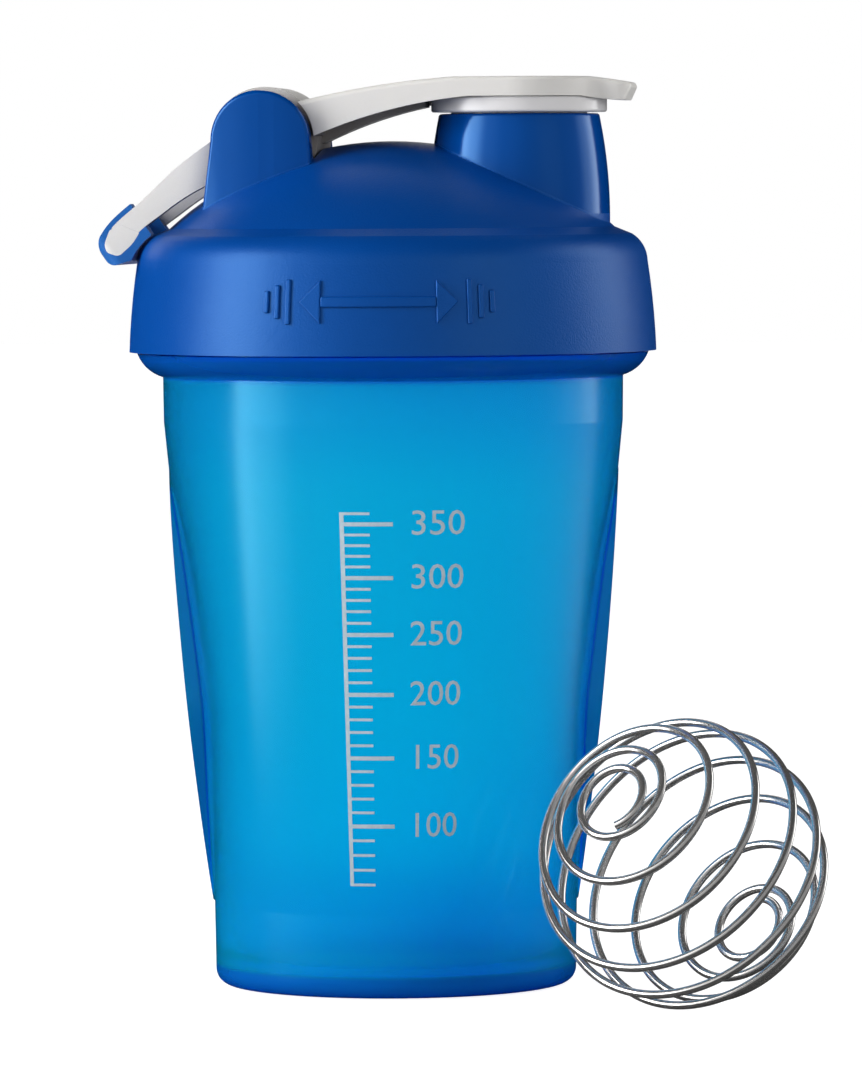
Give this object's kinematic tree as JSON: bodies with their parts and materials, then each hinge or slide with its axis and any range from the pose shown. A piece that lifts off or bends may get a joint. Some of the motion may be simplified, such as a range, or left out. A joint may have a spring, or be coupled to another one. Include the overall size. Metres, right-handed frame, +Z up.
{
  "type": "protein shaker bottle",
  "caption": "Tapered translucent shaker cup with a screw lid, a hinged flip cap over a round spout, a carry loop and a loose wire whisk ball.",
  "frame": {"origin": "centre of the cup's base, on the surface that it stands on", "axes": "+Z up along the cup's axis, +X toward the spout, -Y toward the side with the measuring scale"},
  "size_m": [0.1403, 0.122, 0.1736],
  "materials": {
    "cup_plastic": "translucent polypropylene, satin outside",
    "lid_plastic": "fine matte, glossier on the spout and the ears",
    "white_plastic": "satin",
    "cover_plastic": "gloss",
    "seal_rubber": "soft and clear",
    "grip_rubber": "soft, satin",
    "wire": "polished stainless wire"
  },
  "bodies": {
    "cup": {"cup": "cup_plastic"},
    "seal": {"lid_seal_ring": "seal_rubber"},
    "lid": {"lid": "lid_plastic"},
    "cap": {"flip_cap": "white_plastic", "spout_cover": "cover_plastic"},
    "loop": {"carry_loop": "white_plastic", "loop_grip": "grip_rubber"},
    "ball": {"whisk_ball": "wire"}
  },
  "joints": [
    {"name": "lid_lift", "type": "slide", "parent": "cup", "child": "seal", "axis": [0, 0, 1], "range_m": [0, 0.02]},
    {"name": "lid_turn", "type": "hinge", "parent": "seal", "child": "lid", "pos_m": [0, 0, 0.13], "axis": [0, 0, 1], "range_deg": [0, 720]},
    {"name": "cap_hinge", "type": "hinge", "parent": "lid", "child": "cap", "pos_m": [-0.0232, 0, 0.1617], "axis": [0, -1, 0], "range_deg": [0, 95]},
    {"name": "loop_swing", "type": "hinge", "parent": "lid", "child": "loop", "pos_m": [-0.0232, 0, 0.1617], "axis": [0, 1, 0], "range_deg": [0, 38]},
    {"name": "ball_lift", "type": "slide", "parent": "cup", "child": "ball", "axis": [0.2721, -0.2073, 0.9397], "range_m": [0, 0.2]}
  ],
  "couplings": [
    {"joint": "lid_lift", "follows": "lid_turn", "m_per_rad": 0.0015915}
  ]
}
